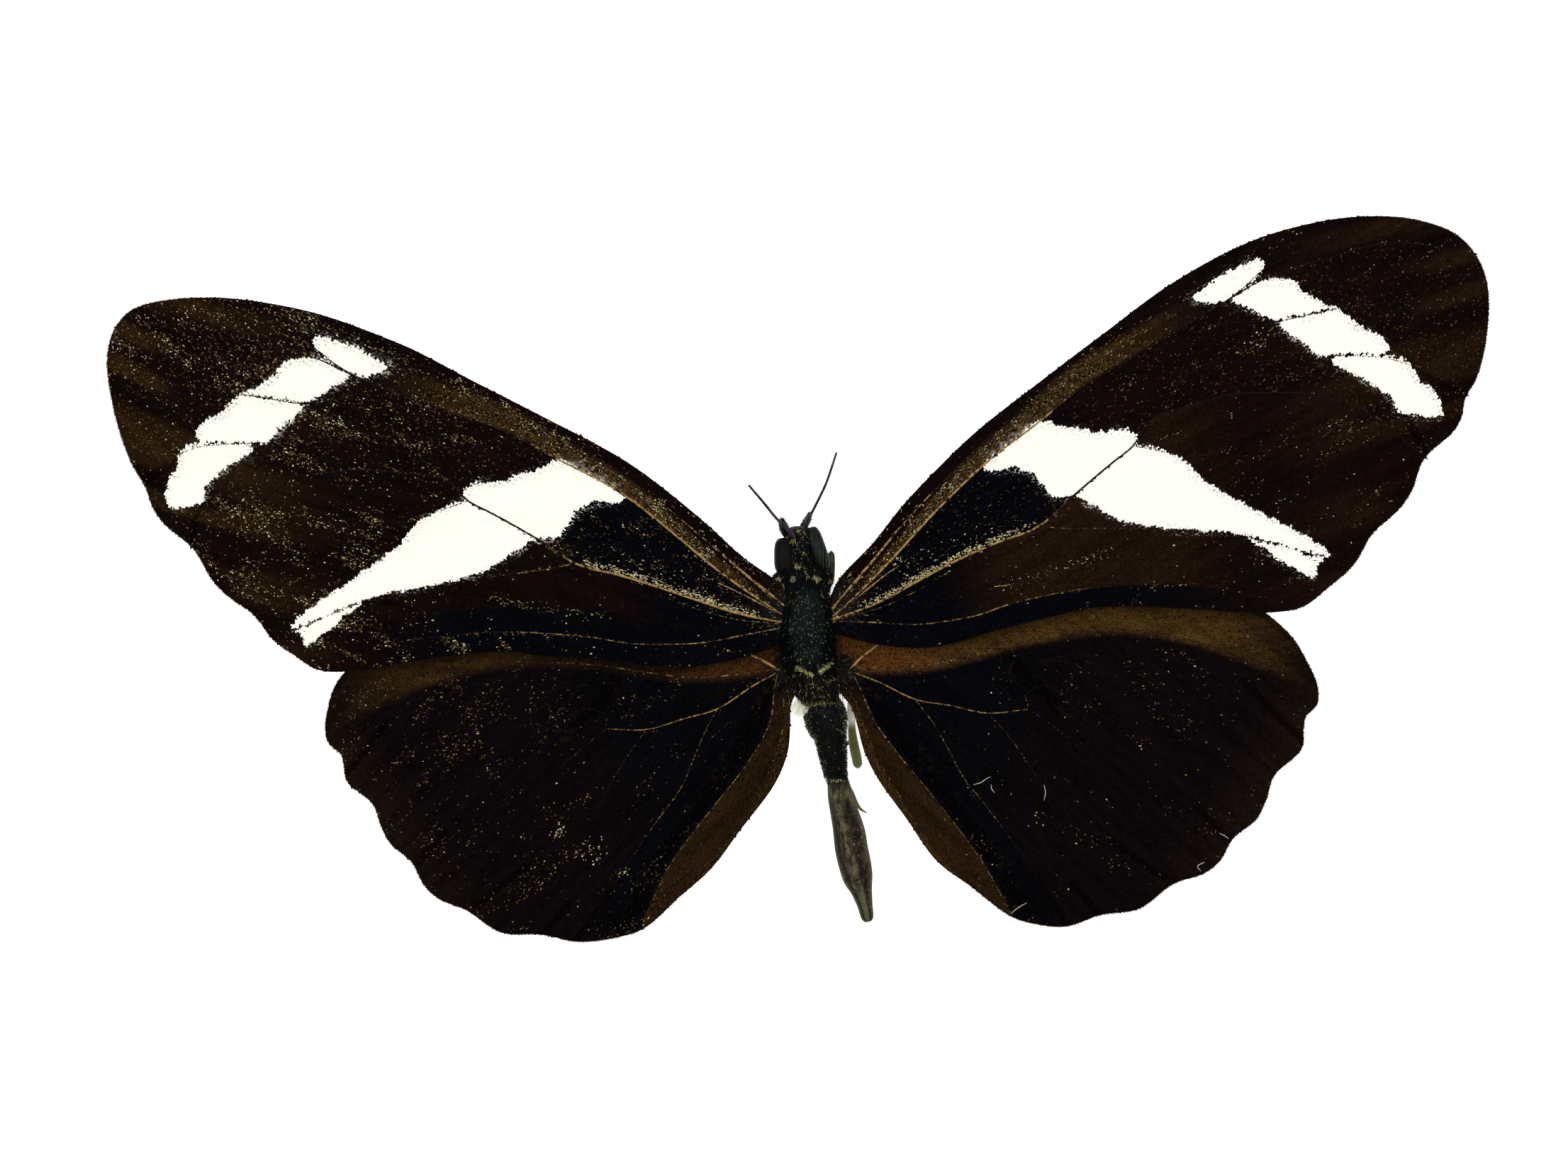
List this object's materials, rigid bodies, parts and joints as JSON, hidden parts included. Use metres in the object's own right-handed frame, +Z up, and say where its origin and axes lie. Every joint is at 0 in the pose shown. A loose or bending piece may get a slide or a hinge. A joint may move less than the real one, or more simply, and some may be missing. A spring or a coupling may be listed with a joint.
{
  "type": "white-banded longwing butterfly",
  "caption": "Dried longwing butterfly with spread wings, brown-black with white forewing bands, resting on its folded legs and abdomen tip.",
  "frame": {"origin": "on the floor, below the centre of the bounding box", "axes": "+Z up, +Y towards the head, +X towards the specimen's right wings"},
  "size_m": [0.07, 0.037, 0.007],
  "materials": {
    "forewing_scales": "overlapping brown-black wing scales with cream-white bands",
    "hindwing_scales": "overlapping blue-black and brown wing scales",
    "body_hair": "short dark green hair and scales with pale yellow spots",
    "abdomen_skin": "dried grey-brown skin in lengthwise folds",
    "eye": "dull olive compound eye",
    "chitin": "smooth dark olive-brown chitin"
  },
  "bodies": {
    "root": {"head": "body_hair", "prothorax": "body_hair", "thorax": "body_hair", "abdomen": "abdomen_skin", "eye_left": "eye", "eye_right": "eye", "palp_left": "body_hair", "palp_right": "body_hair", "proboscis": "chitin", "antenna_left": "chitin", "antenna_right": "chitin", "foreleg_left": "body_hair", "foreleg_right": "body_hair", "midleg_left": "chitin", "midleg_right": "chitin", "hindleg_left": "chitin", "hindleg_right": "chitin", "forewing_left": "forewing_scales", "forewing_right": "forewing_scales", "hindwing_left": "hindwing_scales", "hindwing_right": "hindwing_scales"}
  },
  "joints": []
}
